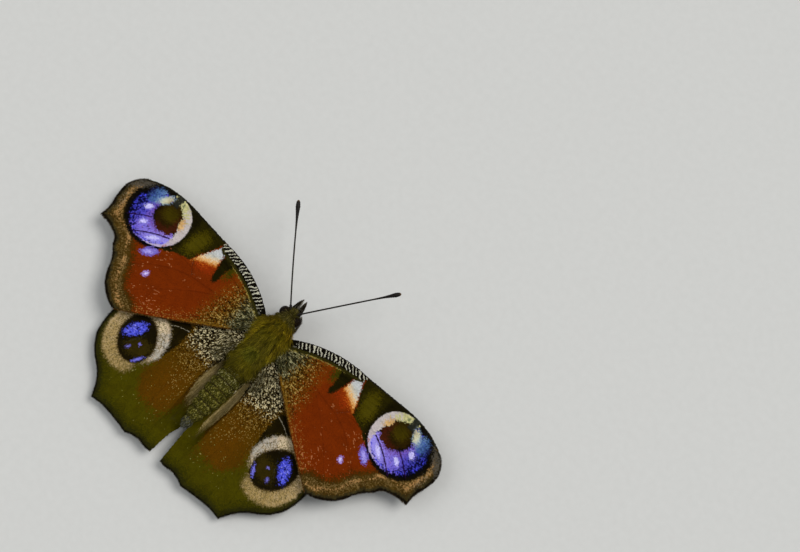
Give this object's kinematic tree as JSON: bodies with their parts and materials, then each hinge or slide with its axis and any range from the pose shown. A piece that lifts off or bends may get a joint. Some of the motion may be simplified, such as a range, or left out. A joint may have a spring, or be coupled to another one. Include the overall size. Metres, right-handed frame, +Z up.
{
  "type": "butterfly",
  "caption": "Life-size peacock butterfly standing with all wings spread flat, feelers held forward, as a still solid figure.",
  "frame": {"origin": "on the floor, below the middle of the whole insect's bounding box", "axes": "+X to the insect's right wing tip, +Y to its head, +Z up from the floor"},
  "size_m": [0.0658, 0.0432, 0.0078],
  "materials": {
    "furred_body": "dark olive-brown hair over chitin",
    "forewing_membrane": "matt rust-red wing scales over a thin membrane",
    "hindwing_membrane": "matt red-brown wing scales over a thin membrane",
    "eye": "dark faceted lens surface with a soft gloss",
    "dark_horn": "dark brown horn-like cuticle with fine scales",
    "leg_chitin": "brown-grey scaled cuticle"
  },
  "bodies": {
    "root": {"head": "furred_body", "eye_left": "eye", "eye_right": "eye", "palp_left": "furred_body", "palp_right": "furred_body", "proboscis": "dark_horn", "antenna_left": "dark_horn", "antenna_right": "dark_horn", "thorax": "furred_body", "abdomen": "furred_body", "forewing_left": "forewing_membrane", "forewing_right": "forewing_membrane", "hindwing_left": "hindwing_membrane", "hindwing_right": "hindwing_membrane", "foreleg_left": "leg_chitin", "foreleg_right": "leg_chitin", "midleg_left": "leg_chitin", "midleg_right": "leg_chitin", "hindleg_left": "leg_chitin", "hindleg_right": "leg_chitin"}
  },
  "joints": []
}
